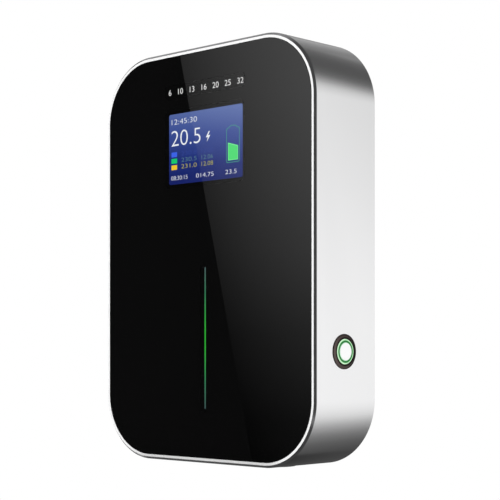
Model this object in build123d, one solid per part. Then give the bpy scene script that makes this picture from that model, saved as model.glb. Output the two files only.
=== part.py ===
from build123d import *
import os

# A wall-hung charger for an electric car: a rounded aluminium frame with a bonded black glass front, a rear
# cover that carries the power electronics, a lit push-button in the right side and a steel bracket behind.
# X runs to the right of someone facing it, Y runs into the wall and Z runs up. The wall is the plane y = 0,
# and the origin is the middle of the wall fixing holes. A name that ends in _at is a distance off the wall.

# Overall size
width = 220.0
height = 310.0
body_depth = 65.5
corner_radius = 49.0
stand_off = 8.0

# Aluminium frame
wall = 3.0
rim_width = 3.65
rim_cut_across = 1.8
rim_cut_back = 1.1
rim_edge_cut = 0.5
back_edge_cut = 0.5
front_ledge_width = 16.0
front_ledge = 3.0
rear_ledge_width = 10.0
rear_ledge = 3.0

# Front glass and the foam tape that bonds it to the frame
glass_thickness = 3.0
glass_gap = 0.2
glass_edge_cut = 0.3
tape_thickness = 1.0
tape_margin = 1.0

# Screen and light line seen through the glass
screen_width = 76.0
screen_height = 53.5
screen_from_top = 74.4
screen_border = 5.0
screen_corner = 1.5
light_line_below_screen = 63.3
light_line_from_bottom = 40.3

# Carrier behind the glass, with the control board and the light board on its back
carrier_thickness = 2.0
carrier_rib = 1.6
carrier_rib_height = 4.0
carrier_pass = 0.5
locating_gap = 0.2
board_stand = 4.0
board_pad = 7.0
clip_wall = 1.6
clip_width = 8.0
clip_nose = 1.0
clip_nose_height = 1.5
clip_from_end = 16.0
light_guide_width = 3.0
light_guide_shoulder = 1.5
board_thickness = 1.6
board_corner = 2.0
control_board_width = 112.0
control_board_height = 84.0
light_board_width = 16.0
light_board_overhang = 9.0
led_width = 2.8
led_height = 0.9
led_pitch = 8.0
led_gap = 0.2

# Rear cover and its gasket
cover_thickness = 2.5
cover_gap = 0.3
cover_rib = 2.0
cover_rib_height = 3.5
cover_rib_columns = 4
cover_rib_rows = 6
gasket_thickness = 1.5
gasket_margin = 0.5
screw_from_corner = 12.0

# Wall bracket, a folded hat section with a locking tongue
sheet = 2.0
sheet_bend = 2.0
bracket_gap = 0.5
wall_hole_spacing_x = 125.0
wall_hole_spacing_z = 160.0
wall_hole_radius = 3.25
foot_width = 25.0
foot_end = 15.0
foot_corner = 4.0
tongue_width = 30.0
lock_screw_from_back = 10.5
lock_screw_edge = 6.0

# Studs on the cover that hang in the bracket's keyholes
stud_from_web = 18.0
stud_from_end = 35.0
stud_radius = 3.0
stud_head_radius = 6.0
stud_head = 2.2
stud_grip = 5.5
stud_boss_radius = 6.5
stud_boss_floor = 1.0
keyhole_side_gap = 0.4
keyhole_head_gap = 0.8
keyhole_drop = 14.0
hang_gap = 0.1

# Power board and what stands on it
power_board_from_side = 35.0
power_board_from_bottom = 31.0
power_board_from_top = 74.0
power_post_height = 6.5
power_post_radius = 4.0
power_board_hole_inset = 5.0
terminal_pitch = 8.5
terminal_poles = 5
terminal_end_wall = 1.0
terminal_height = 22.0
terminal_tall = 22.0
terminal_from_board_end = 10.0
terminal_wall = 1.5
terminal_step = 6.0
terminal_hole_depth = 13.0
terminal_well_depth = 5.0
relay_count = 4
relay_width = 16.0
relay_length = 30.5
relay_tall = 23.5
sensor_width = 42.0
sensor_length = 34.0
sensor_tall = 20.0
sensor_ring_radius = 13.0
sensor_ring_inner_radius = 7.0
sensor_ring_height = 3.0
transformer_count = 3
transformer_gap = 3.0
transformer_width = 15.0
transformer_length = 17.0
transformer_tall = 12.0
supply_width = 50.0
supply_length = 27.0
supply_tall = 21.0
film_count = 3
film_pitch = 12.0
film_width = 8.0
film_length = 18.0
film_tall = 15.0
can_count = 2
can_pitch = 14.0
can_radius = 6.25
can_tall = 18.0
varistor_count = 3
varistor_pitch = 11.0
varistor_radius = 7.0
varistor_thickness = 4.5
varistor_lift = 4.0
varistor_gap = 1.5
fuse_radius = 2.6
fuse_length = 20.0
fuse_clip_width = 5.0
fuse_clip_wall = 1.2
edge_margin = 8.0
upper_row = 18.0
case_edge_cut = 0.8

# Control electronics and the ribbon between the boards
processor_side = 14.0
processor_height = 1.4
wireless_width = 18.0
wireless_length = 25.5
wireless_height = 3.2
socket_width = 24.0
socket_depth = 7.0
socket_tall = 8.0
ribbon_width = 20.0
ribbon_thickness = 0.9
ribbon_bend = 6.0
ribbon_shift = 24.0
ribbon_from_board_end = 14.0

# Protective earth stud on the cover
earth_stud_radius = 2.5
earth_stud_length = 16.0
earth_collar_radius = 5.0
earth_collar = 3.0
earth_nut_across = 8.0
earth_nut = 4.0
earth_from_board = 11.0
earth_from_board_end = 45.0

# Cable entries in the underside
entry_from_corner = 19.0
entry_from_back = 33.0
entry_bore_radius = 8.5
entry_hole_radius = 13.0
grommet_flange_radius = 16.0
grommet_flange = 1.2
grommet_neck_gap = 0.1
grommet_sleeve_radius = 11.0
grommet_sleeve = 6.0

# Lit push-button in the right side
button_from_bottom = 83.0
button_from_front = 30.7
button_travel = 2.5
button_head_radius = 12.5
button_head_edge = 0.5
button_head_height = 1.1
button_head_land = 1.0
button_barrel_radius = 11.0
button_barrel_length = 26.0
button_hole_gap = 0.15
button_mouth_radius = 9.0
button_mouth_depth = 2.0
button_bore_radius = 9.6
button_slide_gap = 0.3
button_stop_gap = 0.05
button_collar = 3.0
button_ring_lift = 0.1
button_cap_radius = 6.5
button_cap_depth = 1.2
button_cap_cut = 0.3
button_fit_gap = 0.05
button_stem_radius = 4.0
button_stem_length = 11.5
switch_length = 12.0
switch_well_gap = 0.4
switch_well_floor_gap = 1.0
switch_gap = 0.1
spring_wire = 0.8
spring_turns = 4
spring_end_gap = 0.05
button_nut_across = 27.0
button_nut = 4.0
seal_width = 1.0
seal_thickness = 0.3
blade_width = 2.8
blade_thickness = 0.8
blade_length = 7.0
blade_spread = 5.0

# Screws
m3_radius = 1.5
m3_across = 5.5
m3_head = 2.0
m4_radius = 2.0
m4_across = 7.0
m4_head = 2.4
thread_gap = 0.05
passing_gap = 0.3
post_screw_grip = 5.0

# Distances off the wall, from the back to the front
back_at = stand_off
bracket_front_at = back_at - bracket_gap
bracket_back_at = bracket_front_at - sheet
cover_inner_at = back_at + cover_thickness
rear_ledge_at = cover_inner_at + gasket_thickness
rear_ledge_end_at = rear_ledge_at + rear_ledge
power_board_at = cover_inner_at + power_post_height
power_top_at = power_board_at + board_thickness
front_at = back_at + body_depth
glass_back_at = front_at - glass_thickness
front_ledge_at = glass_back_at - tape_thickness
carrier_front_at = front_ledge_at - front_ledge
carrier_back_at = carrier_front_at - carrier_thickness
front_board_at = carrier_back_at - board_stand
front_board_back_at = front_board_at - board_thickness
entry_at = back_at + entry_from_back
button_at = front_at - button_from_front
lock_screw_at = back_at + lock_screw_from_back

# Insets from the outside of the frame
glass_inset = rim_width + glass_gap
front_opening_inset = rim_width + front_ledge_width
rear_opening_inset = wall + rear_ledge_width
carrier_inset = rear_opening_inset + carrier_pass
carrier_screw_inset = (carrier_inset + front_opening_inset) / 2
cover_screw_inset = wall + rear_ledge_width / 2

# Places on the front view
screen_z = height / 2 - screen_from_top
light_line_top = screen_z - screen_height / 2 - light_line_below_screen
light_line_bottom = light_line_from_bottom - height / 2
light_line_length = light_line_top - light_line_bottom
light_line_z = (light_line_top + light_line_bottom) / 2
button_z = button_from_bottom - height / 2
entry_x = width / 2 - corner_radius - entry_from_corner
foot_inner_x = wall_hole_spacing_x / 2 - foot_width / 2
bracket_half_height = wall_hole_spacing_z / 2 + foot_end
stud_x = foot_inner_x - stud_from_web
stud_z = bracket_half_height - stud_from_end
power_board_bottom = power_board_from_bottom - height / 2
power_board_top = height / 2 - power_board_from_top
power_board_width = width - 2 * power_board_from_side
power_board_height = power_board_top - power_board_bottom
power_board_z = (power_board_bottom + power_board_top) / 2
terminal_width = terminal_pitch * terminal_poles + 2 * terminal_end_wall
terminal_z = power_board_bottom + terminal_from_board_end + terminal_height / 2
lower_rows = terminal_from_board_end + terminal_height + relay_length
upper_rows = sensor_length + supply_length + upper_row
row_gap = (power_board_height - lower_rows - upper_rows) / 4
relay_pitch = power_board_width / (relay_count + 1)
relay_z = terminal_z + terminal_height / 2 + row_gap + relay_length / 2
sensor_z = relay_z + relay_length / 2 + row_gap + sensor_length / 2
sensor_x = edge_margin + sensor_width / 2 - power_board_width / 2
transformer_pitch = transformer_width + transformer_gap
transformer_x = power_board_width / 2 - edge_margin - transformer_width / 2 - transformer_pitch
transformer_z = sensor_z + (transformer_length - sensor_length) / 2
varistor_z = transformer_z + transformer_length / 2 + varistor_gap + varistor_radius
supply_z = sensor_z + sensor_length / 2 + row_gap + supply_length / 2
supply_x = edge_margin + supply_width / 2 - power_board_width / 2
film_x = power_board_width / 2 - edge_margin - film_width / 2 - film_pitch
can_x = (supply_x + supply_width / 2 + film_x - film_pitch - film_width / 2) / 2
ribbon_z = power_board_top - ribbon_from_board_end
earth_x = -power_board_width / 2 - earth_from_board
earth_z = power_board_bottom + earth_from_board_end
light_board_height = light_line_length + 2 * light_board_overhang

# The button's own frame: Z points out of the side, and zero is the frame's outside face.
button_place = Plane(origin=(width / 2, -button_at, button_z), x_dir=(0, 1, 0), z_dir=(1, 0, 0))
mouth_bottom = button_head_height - button_mouth_depth
collar_top = mouth_bottom - button_stop_gap
collar_bottom = collar_top - button_collar
stem_end = collar_bottom - button_stem_length
ring_top = button_head_height + button_ring_lift
ring_radius = button_mouth_radius - button_slide_gap
switch_top = switch_length - button_barrel_length
switch_well_bottom = stem_end - button_travel - switch_well_floor_gap


def layer(shape, near_at, far_at):
    # A flat shape drawn as seen from the front, made solid between two distances off the wall.
    return extrude(Plane.XZ.offset(near_at) * shape, far_at - near_at)


def outline(inset):
    # The rounded front outline, drawn in from the outside of the frame.
    return RectangleRounded(width - 2 * inset, height - 2 * inset, corner_radius - inset)


def group(pieces):
    return Compound([piece.solid() for piece in pieces])


def row(count, pitch):
    # Places along a row, evenly spaced about zero.
    return [pitch * (index - (count - 1) / 2) for index in range(count)]


def edge_places(inset):
    # Screw places around the frame: two on each side, and two at the top and at the bottom.
    side_x = width / 2 - inset
    end_z = height / 2 - inset
    reach_x = width / 2 - corner_radius - screw_from_corner
    reach_z = height / 2 - corner_radius - screw_from_corner
    return corner_places(side_x, reach_z) + corner_places(reach_x, end_z)


def corner_places(half_x, half_z, middle_z=0.0):
    return [(x, middle_z + z) for x in (-half_x, half_x) for z in (-half_z, half_z)]


def screw(radius, grip, across, head):
    # A hexagon head screw with its head above zero and its shank below.
    shank = Cylinder(radius, grip, align=(Align.CENTER, Align.CENTER, Align.MAX))
    return shank + extrude(RegularPolygon(across / 2, 6, major_radius=False), head)


def stadium(x, low_z, high_z, radius):
    # A slot that stands upright, given by the centres of its two ends.
    return Pos(x, (low_z + high_z) / 2) * SlotCenterToCenter(high_z - low_z, 2 * radius, rotation=90)


cover_screw_places = edge_places(cover_screw_inset)
carrier_screw_places = edge_places(carrier_screw_inset)
stud_places = corner_places(stud_x, stud_z)
wall_hole_places = corner_places(wall_hole_spacing_x / 2, wall_hole_spacing_z / 2)
power_board_half_x = power_board_width / 2 - power_board_hole_inset
power_board_half_z = power_board_height / 2 - power_board_hole_inset
power_screw_places = corner_places(power_board_half_x, power_board_half_z, power_board_z)


def make_frame():
    # One band with a ledge at the front for the glass and one at the back for the cover.
    band = layer(outline(0), back_at, front_at)
    front_face = band.faces().sort_by(Axis.Y)[0]
    band = chamfer(front_face.edges(), rim_cut_across, rim_cut_back, reference=front_face)
    front_loop, cut_seams, shoulder_loop = band.edges().group_by(Axis.Y)[:3]
    band = chamfer(shoulder_loop, rim_edge_cut)
    band = chamfer(band.faces().sort_by(Axis.Y)[-1].edges(), back_edge_cut)
    band -= layer(outline(wall), back_at, rear_ledge_at)
    band -= layer(outline(rear_opening_inset), rear_ledge_at, rear_ledge_end_at)
    band -= layer(outline(wall), rear_ledge_end_at, carrier_front_at)
    band -= layer(outline(front_opening_inset), carrier_front_at, front_ledge_at)
    band -= layer(outline(rim_width), front_ledge_at, front_at)
    for x, z in cover_screw_places:
        band -= layer(Pos(x, z) * Circle(m4_radius + thread_gap), rear_ledge_at, rear_ledge_end_at)
    for x, z in carrier_screw_places:
        band -= layer(Pos(x, z) * Circle(m3_radius + thread_gap), carrier_front_at, front_ledge_at)
    band -= button_place * Cylinder(button_barrel_radius + button_hole_gap, 4 * wall)
    for x in (-entry_x, entry_x):
        band -= Pos(x, -entry_at, -height / 2) * Cylinder(entry_hole_radius, 4 * wall)
    band -= Pos(0, -lock_screw_at, -height / 2) * Cylinder(m4_radius + thread_gap, 4 * wall)
    return band


def make_front_glass():
    pane = layer(outline(glass_inset), glass_back_at, front_at)
    return chamfer(pane.faces().sort_by(Axis.Y)[0].edges(), glass_edge_cut)


def make_glass_tape():
    ring = outline(glass_inset + tape_margin) - outline(front_opening_inset - tape_margin)
    return layer(ring, front_ledge_at, glass_back_at)


def make_display_module():
    # Held between the glass and the carrier, with its picture facing the clear window.
    wide = screen_width + 2 * screen_border
    high = screen_height + 2 * screen_border
    face = Pos(0, screen_z) * RectangleRounded(wide, high, screen_corner)
    return layer(face, carrier_front_at, glass_back_at)


def make_light_guide():
    # A clear bar with shoulders that rest on the carrier; its stem reaches back to the light sources.
    head = Rectangle(light_guide_width + 2 * light_guide_shoulder, light_line_length)
    stem = Rectangle(light_guide_width, light_line_length)
    stem_at = front_board_at + led_height + led_gap
    guide = layer(Pos(0, light_line_z) * head, carrier_front_at, glass_back_at)
    return guide + layer(Pos(0, light_line_z) * stem, stem_at, carrier_front_at)


def board_mounting(wide, high, middle_z):
    # What holds a board behind the carrier: a pad under each corner and two sprung clips on each side.
    pieces = []
    pad_x = (wide - board_pad) / 2
    pad_z = (high - board_pad) / 2
    for x, z in corner_places(pad_x, pad_z, middle_z):
        pieces.append(layer(Pos(x, z) * Rectangle(board_pad, board_pad), front_board_at, carrier_back_at))
    clip_end_at = front_board_back_at - clip_nose_height
    clip_x = wide / 2 + locating_gap + clip_wall / 2
    for x, z in corner_places(clip_x, high / 2 - clip_from_end, middle_z):
        toward_board = -1 if x > 0 else 1
        nose_wide = clip_nose + locating_gap + clip_wall
        nose_x = x + toward_board * (nose_wide - clip_wall) / 2
        arm = Pos(x, z) * Rectangle(clip_wall, clip_width)
        nose = Pos(nose_x, z) * Rectangle(nose_wide, clip_width)
        pieces.append(layer(arm, clip_end_at, carrier_back_at))
        pieces.append(layer(nose, clip_end_at, front_board_back_at))
    return pieces


def make_front_carrier():
    # A moulded plate with a locating frame for the screen, a rib round its edge and clips for two boards.
    plate = layer(outline(carrier_inset), carrier_back_at, carrier_front_at)
    window_wide = screen_width + 2 * (screen_border + locating_gap)
    window_high = screen_height + 2 * (screen_border + locating_gap)
    locating = Rectangle(window_wide + 2 * carrier_rib, window_high + 2 * carrier_rib)
    locating -= Rectangle(window_wide, window_high)
    plate += layer(Pos(0, screen_z) * locating, carrier_front_at, front_ledge_at)
    rib_ring = outline(front_opening_inset + carrier_rib) - outline(front_opening_inset + 2 * carrier_rib)
    plate += layer(rib_ring, carrier_back_at - carrier_rib_height, carrier_back_at)
    plate += board_mounting(control_board_width, control_board_height, screen_z)
    plate += board_mounting(light_board_width, light_board_height, light_line_z)
    for x, z in carrier_screw_places:
        plate -= layer(Pos(x, z) * Circle(m3_radius + passing_gap), carrier_back_at, carrier_front_at)
    slot = Rectangle(light_guide_width + 2 * locating_gap, light_line_length + 2 * locating_gap)
    return plate - layer(Pos(0, light_line_z) * slot, carrier_back_at, carrier_front_at)


def make_carrier_screws():
    back_face = Plane(origin=(0, -carrier_back_at, 0), x_dir=(1, 0, 0), z_dir=(0, 1, 0))
    one = screw(m3_radius, carrier_thickness + front_ledge, m3_across, m3_head)
    return group([back_face * (Pos(x, -z) * one) for x, z in carrier_screw_places])


def front_board(wide, high, middle_z):
    # A board that lies on the carrier's pads.
    return layer(Pos(0, middle_z) * Rectangle(wide, high), front_board_back_at, front_board_at)


def make_indicator_leds():
    count = max(int((light_line_length - led_width) / led_pitch) + 1, 1)
    one = layer(Rectangle(led_width, led_width), front_board_at, front_board_at + led_height)
    return group([Pos(0, 0, light_line_z + z) * one for z in row(count, led_pitch)])


def make_rear_cover():
    # A cast plate with posts for the power board, bosses for the hanging studs and a grid of ribs.
    plate = layer(outline(wall + cover_gap), back_at, cover_inner_at)
    field_inset = rear_opening_inset + cover_rib
    rib_field = outline(field_inset)
    pitch_x = (width - 2 * field_inset) / cover_rib_columns
    pitch_z = (height - 2 * field_inset) / cover_rib_rows
    ribs = [Pos(x, 0) * Rectangle(cover_rib, height) for x in row(cover_rib_columns, pitch_x)]
    ribs += [Pos(0, z) * Rectangle(width, cover_rib) for z in row(cover_rib_rows, pitch_z)]
    for rib in ribs:
        plate += layer(rib & rib_field, cover_inner_at, cover_inner_at + cover_rib_height)
    boss_at = back_at + stud_grip + stud_boss_floor
    for x, z in stud_places:
        plate += layer(Pos(x, z) * Circle(stud_boss_radius), cover_inner_at, boss_at)
        plate -= layer(Pos(x, z) * Circle(stud_radius + thread_gap), back_at, back_at + stud_grip)
    post_hole_at = power_board_at - post_screw_grip
    for x, z in power_screw_places:
        plate += layer(Pos(x, z) * Circle(power_post_radius), cover_inner_at, power_board_at)
        plate -= layer(Pos(x, z) * Circle(m3_radius + thread_gap), post_hole_at, power_board_at)
    earth_place = Pos(earth_x, earth_z)
    earth_seat_at = cover_inner_at + earth_collar
    plate += layer(earth_place * Circle(earth_collar_radius), cover_inner_at, earth_seat_at)
    plate -= layer(earth_place * Circle(earth_stud_radius + thread_gap), cover_inner_at, earth_seat_at)
    for x, z in cover_screw_places:
        plate -= layer(Pos(x, z) * Circle(m4_radius + passing_gap), back_at, cover_inner_at)
    return plate


def make_cover_screws():
    back_face = Plane(origin=(0, -back_at, 0), x_dir=(1, 0, 0), z_dir=(0, 1, 0))
    one = screw(m4_radius, cover_thickness + gasket_thickness + rear_ledge, m4_across, m4_head)
    return group([back_face * (Pos(x, -z) * one) for x, z in cover_screw_places])


def make_cover_gasket():
    # A flat seal inside the line of screws.
    ring = outline(cover_screw_inset + m4_radius + gasket_margin) - outline(rear_opening_inset)
    return layer(ring, cover_inner_at, rear_ledge_at)


def make_hanging_studs():
    # Studs screwed into the cover, whose heads sit behind the bracket's panel.
    head_at = bracket_back_at - bracket_gap
    pieces = []
    for x, z in stud_places:
        head = layer(Pos(x, z) * Circle(stud_head_radius), head_at - stud_head, head_at)
        pieces.append(head + layer(Pos(x, z) * Circle(stud_radius), head_at, back_at + stud_grip))
    return group(pieces)


def make_wall_bracket():
    # A hat section: two feet on the wall and a raised panel, with a tongue that folds under the frame.
    foot_line = -sheet / 2
    panel_line = -(bracket_front_at + bracket_back_at) / 2
    foot_x = foot_inner_x + foot_width
    web_x = foot_inner_x - sheet / 2
    hat = FilletPolyline(
        (-foot_x, foot_line),
        (-web_x, foot_line),
        (-web_x, panel_line),
        (web_x, panel_line),
        (web_x, foot_line),
        (foot_x, foot_line),
        radius=sheet_bend,
    )
    bracket = extrude(trace(hat, sheet), bracket_half_height, both=True)
    under_z = -height / 2 - bracket_gap - sheet / 2
    reach = -lock_screw_at - lock_screw_edge
    fold = FilletPolyline((panel_line, -stud_z), (panel_line, under_z), (reach, under_z), radius=sheet_bend)
    bracket += extrude(Plane.YZ * trace(fold, sheet), tongue_width / 2, both=True)
    slot_radius = stud_radius + keyhole_side_gap
    for x, z in stud_places:
        slot_z = z + keyhole_side_gap - hang_gap
        slot = stadium(x, slot_z, slot_z + keyhole_drop, slot_radius)
        entry = Pos(x, slot_z + keyhole_drop) * Circle(stud_head_radius + keyhole_head_gap)
        bracket -= layer(slot, bracket_back_at, bracket_front_at)
        bracket -= layer(entry, bracket_back_at, bracket_front_at)
    for x, z in wall_hole_places:
        bracket -= layer(Pos(x, z) * Circle(wall_hole_radius), 0, sheet)
    bracket -= Pos(0, -lock_screw_at, under_z) * Cylinder(m4_radius + passing_gap, 2 * sheet)
    corners = bracket.edges().filter_by(Axis.Y).group_by(Axis.X)
    return chamfer(corners[0] + corners[-1], foot_corner)


def make_lock_screw():
    seat_z = -height / 2 - bracket_gap - sheet
    under = Plane(origin=(0, -lock_screw_at, seat_z), x_dir=(1, 0, 0), z_dir=(0, 0, -1))
    return under * screw(m4_radius, sheet + bracket_gap + wall, m4_across, m4_head)


def make_power_board():
    shape = Pos(0, power_board_z) * RectangleRounded(power_board_width, power_board_height, board_corner)
    for x, z in power_screw_places:
        shape -= Pos(x, z) * Circle(m3_radius + passing_gap)
    return layer(shape, power_board_at, power_top_at)


def make_power_board_screws():
    one = screw(m3_radius, board_thickness + post_screw_grip, m3_across, m3_head)
    return group([Plane.XZ.offset(power_top_at) * (Pos(x, z) * one) for x, z in power_screw_places])


def on_board(x, z, wide, high, tall):
    # A moulded case that stands on the power board, with its front edges broken.
    case = layer(Pos(x, z) * Rectangle(wide, high), power_top_at, power_top_at + tall)
    return chamfer(case.faces().sort_by(Axis.Y)[0].edges(), case_edge_cut)


def make_terminal_block(middle_x):
    # A stepped block with a wire opening in its lower face and a screwdriver well in front for each pole.
    half = terminal_height / 2
    front_at_y = -power_top_at - terminal_tall
    side = Polyline(
        (-power_top_at, -half),
        (front_at_y + terminal_step, -half),
        (front_at_y, terminal_step - half),
        (front_at_y, half - terminal_step),
        (front_at_y + terminal_step, half),
        (-power_top_at, half),
        close=True,
    )
    block = extrude(Plane.YZ * make_face(side), terminal_width / 2, both=True)
    block = Pos(middle_x, 0, terminal_z) * block
    pole_wide = terminal_pitch - terminal_wall
    wire_tall = terminal_tall - terminal_step - 2 * terminal_wall
    well_high = terminal_height - 2 * terminal_step - 2 * terminal_wall
    for x in row(terminal_poles, terminal_pitch):
        wire_at = power_top_at + terminal_wall
        wire_z = terminal_z - half + terminal_hole_depth / 2
        wire_hole = Pos(middle_x + x, wire_z) * Rectangle(pole_wide, terminal_hole_depth)
        block -= layer(wire_hole, wire_at, wire_at + wire_tall)
        well = Pos(middle_x + x, terminal_z) * Rectangle(pole_wide, well_high)
        block -= layer(well, -front_at_y - terminal_well_depth, -front_at_y)
    return block


def make_relays():
    places = row(relay_count, relay_pitch)
    return group([on_board(x, relay_z, relay_width, relay_length, relay_tall) for x in places])


def make_residual_current_sensor():
    case = on_board(sensor_x, sensor_z, sensor_width, sensor_length, sensor_tall)
    ring = Circle(sensor_ring_radius) - Circle(sensor_ring_inner_radius)
    top_at = power_top_at + sensor_tall
    return case + layer(Pos(sensor_x, sensor_z) * ring, top_at, top_at + sensor_ring_height)


def make_current_transformers():
    places = [transformer_x + x for x in row(transformer_count, transformer_pitch)]
    sizes = (transformer_width, transformer_length, transformer_tall)
    return group([on_board(x, transformer_z, *sizes) for x in places])


def make_supply_module():
    return on_board(supply_x, supply_z, supply_width, supply_length, supply_tall)


def make_film_capacitors():
    places = [film_x + x for x in row(film_count, film_pitch)]
    return group([on_board(x, supply_z, film_width, film_length, film_tall) for x in places])


def make_can_capacitors():
    one = layer(Circle(can_radius), power_top_at, power_top_at + can_tall)
    return group([Pos(can_x, 0, supply_z + z) * one for z in row(can_count, can_pitch)])


def make_varistors():
    # Coated discs that stand on edge, with the coating run down to the board.
    disc_at = power_top_at + varistor_lift + varistor_radius
    side = Pos(-disc_at, varistor_z) * Circle(varistor_radius)
    foot_middle = -(disc_at + power_top_at) / 2
    side += Pos(foot_middle, varistor_z) * Rectangle(disc_at - power_top_at, varistor_radius)
    one = extrude(Plane.YZ * side, varistor_thickness / 2, both=True)
    return group([Pos(transformer_x + x, 0, 0) * one for x in row(varistor_count, varistor_pitch)])


def make_fuse():
    # A glass tube held by two spring clips.
    fuse_z = power_board_z + power_board_half_z - edge_margin
    tube_at = power_top_at + fuse_clip_wall + fuse_radius
    tube = Pos(supply_x, -tube_at, fuse_z) * Rot(0, 90, 0) * Cylinder(fuse_radius, fuse_length)
    clip = Rectangle(fuse_clip_width, 2 * (fuse_radius + fuse_clip_wall))
    for side in (-1, 1):
        clip_place = Pos(supply_x + side * (fuse_length - fuse_clip_width) / 2, fuse_z)
        tube += layer(clip_place * clip, power_top_at, tube_at + fuse_radius / 2)
    return tube


def make_processor():
    chip = Pos(0, screen_z) * Rectangle(processor_side, processor_side)
    return layer(chip, front_board_back_at - processor_height, front_board_back_at)


def make_wireless_module():
    edge = control_board_width / 2 - edge_margin - wireless_width / 2
    module = Pos(-edge, screen_z) * Rectangle(wireless_width, wireless_length)
    return layer(module, front_board_back_at - wireless_height, front_board_back_at)


def make_ribbon_sockets():
    shape = Rectangle(socket_width, socket_depth)
    lower = layer(Pos(0, ribbon_z) * shape, power_top_at, power_top_at + socket_tall)
    upper_z = ribbon_z - ribbon_shift
    upper = layer(Pos(0, upper_z) * shape, front_board_back_at - socket_tall, front_board_back_at)
    return group([lower, upper])


def make_ribbon_cable():
    # A flat cable from the power board up to the control board, with one easy S bend.
    low_at = power_top_at + socket_tall
    high_at = front_board_back_at - socket_tall
    middle_at = (low_at + high_at) / 2
    upper_z = ribbon_z - ribbon_shift
    path = FilletPolyline(
        (-low_at, ribbon_z),
        (-middle_at, ribbon_z),
        (-middle_at, upper_z),
        (-high_at, upper_z),
        radius=ribbon_bend,
    )
    return extrude(Plane.YZ * trace(path, ribbon_thickness), ribbon_width / 2, both=True)


def make_earth_stud():
    stud = Circle(earth_stud_radius)
    return layer(Pos(earth_x, earth_z) * stud, cover_inner_at, cover_inner_at + earth_stud_length)


def make_earth_nut():
    nut = RegularPolygon(earth_nut_across / 2, 6, major_radius=False)
    nut -= Circle(earth_stud_radius + thread_gap)
    seat_at = cover_inner_at + earth_collar
    return layer(Pos(earth_x, earth_z) * nut, seat_at, seat_at + earth_nut)


def make_cable_grommets():
    # Rubber rings that snap into the frame's holes, each turned about its own bore, with a sleeve inside.
    neck = entry_hole_radius - grommet_neck_gap
    inner_at = wall + grommet_flange
    side = Polyline(
        (entry_bore_radius, -grommet_flange),
        (grommet_flange_radius, -grommet_flange),
        (grommet_flange_radius, 0),
        (neck, 0),
        (neck, wall),
        (grommet_flange_radius, wall),
        (grommet_sleeve_radius, inner_at),
        (grommet_sleeve_radius, inner_at + grommet_sleeve),
        (entry_bore_radius, inner_at + grommet_sleeve),
        close=True,
    )
    ring = revolve(Plane.XZ * make_face(side), Axis.Z)
    return group([Pos(x, -entry_at, -height / 2) * ring for x in (-entry_x, entry_x)])


def turned(points):
    # A body turned about the button's axis, from radius and height pairs.
    return button_place * revolve(Plane.XZ * make_face(Polyline(*points, close=True)), Axis.Z)


def make_button_bezel():
    # The fixed head and threaded barrel: a sloping ring outside and a bore that guides the plunger.
    seal_radius = button_barrel_radius + seal_width
    return turned(
        [
            (button_mouth_radius, mouth_bottom),
            (button_mouth_radius, button_head_height),
            (button_mouth_radius + button_head_land, button_head_height),
            (button_head_radius, button_head_edge),
            (button_head_radius, 0),
            (seal_radius, 0),
            (seal_radius, seal_thickness),
            (button_barrel_radius, seal_thickness),
            (button_barrel_radius, -button_barrel_length),
            (button_bore_radius, -button_barrel_length),
            (button_bore_radius, mouth_bottom),
        ]
    )


def make_button_plunger():
    # A clear plunger whose rim is the lit ring, with a collar that stops it and a stem that works the switch.
    cap_seat = button_cap_radius + button_fit_gap
    collar = button_bore_radius - button_slide_gap
    return turned(
        [
            (0, ring_top - button_cap_depth),
            (cap_seat, ring_top - button_cap_depth),
            (cap_seat, ring_top),
            (ring_radius, ring_top),
            (ring_radius, collar_top),
            (collar, collar_top),
            (collar, collar_bottom),
            (button_stem_radius, collar_bottom),
            (button_stem_radius, stem_end),
            (0, stem_end),
        ]
    )


def make_button_cap():
    # A bright metal disc set in the plunger, with its edge broken.
    low = ring_top - button_cap_depth
    high = ring_top + button_cap_cut
    return turned(
        [
            (0, low),
            (button_cap_radius, low),
            (button_cap_radius, ring_top),
            (button_cap_radius - button_cap_cut, high),
            (0, high),
        ]
    )


def make_button_spring():
    # A square-wire coil between the plunger's collar and the switch, round the stem.
    radius = (button_stem_radius + button_bore_radius) / 2
    low = switch_top + spring_end_gap + spring_wire / 2
    high = collar_bottom - spring_end_gap - spring_wire / 2
    coil = Helix((high - low) / spring_turns, high - low, radius)
    section = Plane(coil @ 0, x_dir=(1, 0, 0), z_dir=coil % 0) * Rectangle(spring_wire, spring_wire)
    return button_place * (Pos(0, 0, low) * sweep(section, path=coil, is_frenet=True))


def make_button_switch():
    # The contact block that closes the barrel's inner end, with a well that the stem moves in.
    side = button_bore_radius - switch_gap
    well_radius = button_stem_radius + switch_well_gap
    return turned(
        [
            (0, -button_barrel_length),
            (side, -button_barrel_length),
            (side, switch_top),
            (well_radius, switch_top),
            (well_radius, switch_well_bottom),
            (0, switch_well_bottom),
        ]
    )


def make_button_terminals():
    blade = Box(blade_thickness, blade_width, blade_length)
    blade_z = -button_barrel_length - blade_length / 2
    places = corner_places(blade_spread, blade_spread)
    return group([button_place * (Pos(x, y, blade_z) * blade) for x, y in places])


def make_button_nut():
    nut = RegularPolygon(button_nut_across / 2, 6, major_radius=False)
    nut -= Circle(button_barrel_radius + thread_gap)
    return button_place * (Pos(0, 0, -wall - button_nut) * extrude(nut, button_nut))


def make_button_seal():
    ring = Circle(button_barrel_radius + seal_width) - Circle(button_barrel_radius)
    return button_place * extrude(ring, seal_thickness)


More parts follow.
